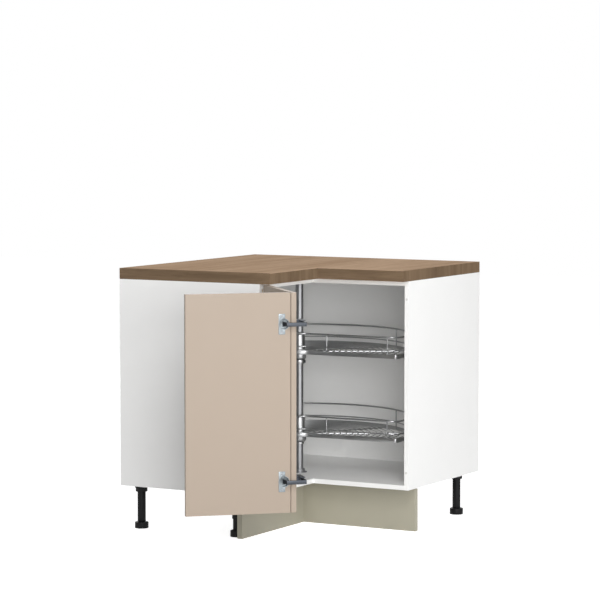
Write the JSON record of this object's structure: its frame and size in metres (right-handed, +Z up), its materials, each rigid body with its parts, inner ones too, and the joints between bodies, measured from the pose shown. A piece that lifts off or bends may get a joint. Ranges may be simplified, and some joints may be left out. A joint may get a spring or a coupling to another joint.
{
  "type": "corner carousel cabinet",
  "caption": "L-shaped kitchen corner base cabinet with a folding leaf door and wire carousel baskets that turn on a pole, on adjustable feet.",
  "frame": {"origin": "the point on the floor under the corner where the two room walls meet", "axes": "+X along the right leg's wall, -Y along the left leg's wall, +Z up; the door is shown swung open"},
  "size_m": [0.933, 1.4288, 0.913],
  "materials": {
    "worktop": "satin walnut-look laminate",
    "carcass_board": "white melamine",
    "timber": "plain timber",
    "plinth_board": "olive-grey matt foil",
    "door_board": "sand-coloured matt lacquer",
    "black_plastic": "moulded",
    "pole_steel": "bright tube",
    "wire_steel": "chromed wire",
    "band_steel": "flat steel strip",
    "hinge_steel": "nickel-plated",
    "screw_steel": "zinc-plated",
    "clear_rubber": "soft clear"
  },
  "bodies": {
    "carcass": {"worktop": "worktop", "top_panel": "carcass_board", "floor_panel": "carcass_board", "side_left": "carcass_board", "side_right": "carcass_board", "back_left": "carcass_board", "back_right": "carcass_board", "corner_batten": "timber", "dowels": "timber", "worktop_screws": "screw_steel", "plinth_left": "plinth_board", "plinth_right": "plinth_board", "plinth_clips": "black_plastic", "foot_sockets": "black_plastic", "foot_tubes": "black_plastic", "pole": "pole_steel", "pole_base": "pole_steel", "pole_head": "pole_steel", "collar_lower": "band_steel", "collar_upper": "band_steel", "collar_screws": "black_plastic", "hinge_plates": "hinge_steel", "hinge_arms": "hinge_steel", "hinge_pins": "screw_steel", "door_bumpers": "clear_rubber"},
    "door_1": {"door_1": "door_board", "hinge_cups": "hinge_steel", "door_1_screws": "screw_steel", "fold_brackets": "hinge_steel", "fold_pins": "screw_steel"},
    "hinge_link_inner": {"hinge_links_inner": "hinge_steel"},
    "hinge_link_outer": {"hinge_links_outer": "hinge_steel"},
    "fold_link": {"fold_links": "hinge_steel"},
    "door_2": {"door_2": "door_board", "fold_cups": "hinge_steel", "door_2_screws": "screw_steel"},
    "basket_lower": {"hub_lower": "band_steel", "rails_lower": "wire_steel", "posts_lower": "wire_steel", "band_lower": "band_steel", "grille_lower_1": "wire_steel", "grille_lower_2": "wire_steel", "grille_lower_3": "wire_steel"},
    "basket_upper": {"hub_upper": "band_steel", "rails_upper": "wire_steel", "posts_upper": "wire_steel", "band_upper": "band_steel", "grille_upper_1": "wire_steel", "grille_upper_2": "wire_steel", "grille_upper_3": "wire_steel"},
    "foot_1": {"foot_1": "black_plastic"},
    "foot_2": {"foot_2": "black_plastic"},
    "foot_3": {"foot_3": "black_plastic"},
    "foot_4": {"foot_4": "black_plastic"},
    "foot_5": {"foot_5": "black_plastic"},
    "foot_6": {"foot_6": "black_plastic"}
  },
  "joints": [
    {"name": "door_swing", "type": "hinge", "parent": "carcass", "child": "door_1", "pos_m": [0.576, -0.9233, 0.515], "axis": [0, 0, 1], "range_deg": [-4, 136]},
    {"name": "hinge_link_inner_swing", "type": "hinge", "parent": "carcass", "child": "hinge_link_inner", "pos_m": [0.5447, -0.8902, 0.515], "axis": [0, 0, 1], "range_deg": [-5, 128]},
    {"name": "hinge_link_outer_swing", "type": "hinge", "parent": "door_1", "child": "hinge_link_outer", "pos_m": [0.59931, -0.93276, 0.515], "axis": [0, 0, 1], "range_deg": [-138, 6]},
    {"name": "fold_link_swing", "type": "hinge", "parent": "door_1", "child": "fold_link", "pos_m": [0.83774, -1.13388, 0.515], "axis": [0, 0, -1], "range_deg": [0, 30]},
    {"name": "leaf_fold", "type": "hinge", "parent": "fold_link", "child": "door_2", "pos_m": [0.80583, -1.19945, 0.515], "axis": [0, 0, -1], "range_deg": [0, 30]},
    {"name": "basket_lower_turn", "type": "hinge", "parent": "carcass", "child": "basket_lower", "pos_m": [0.435, -0.435, 0.305], "axis": [0, 0, 1], "range_deg": [-360, 360]},
    {"name": "basket_upper_turn", "type": "hinge", "parent": "carcass", "child": "basket_upper", "pos_m": [0.435, -0.435, 0.599], "axis": [0, 0, 1], "range_deg": [-360, 360]},
    {"name": "foot_1_adjust", "type": "slide", "parent": "carcass", "child": "foot_1", "axis": [0, 0, 1], "range_m": [-0.025, 0]},
    {"name": "foot_2_adjust", "type": "slide", "parent": "carcass", "child": "foot_2", "axis": [0, 0, 1], "range_m": [-0.025, 0]},
    {"name": "foot_3_adjust", "type": "slide", "parent": "carcass", "child": "foot_3", "axis": [0, 0, 1], "range_m": [-0.025, 0]},
    {"name": "foot_4_adjust", "type": "slide", "parent": "carcass", "child": "foot_4", "axis": [0, 0, 1], "range_m": [-0.025, 0]},
    {"name": "foot_5_adjust", "type": "slide", "parent": "carcass", "child": "foot_5", "axis": [0, 0, 1], "range_m": [-0.025, 0]},
    {"name": "foot_6_adjust", "type": "slide", "parent": "carcass", "child": "foot_6", "axis": [0, 0, 1], "range_m": [-0.025, 0]}
  ],
  "couplings": [
    {"joint": "hinge_link_inner_swing", "follows": "door_swing", "ratio": 0.93576},
    {"joint": "hinge_link_outer_swing", "follows": "door_swing", "ratio": -1.0075},
    {"joint": "fold_link_swing", "follows": "leaf_fold", "ratio": 1}
  ]
}
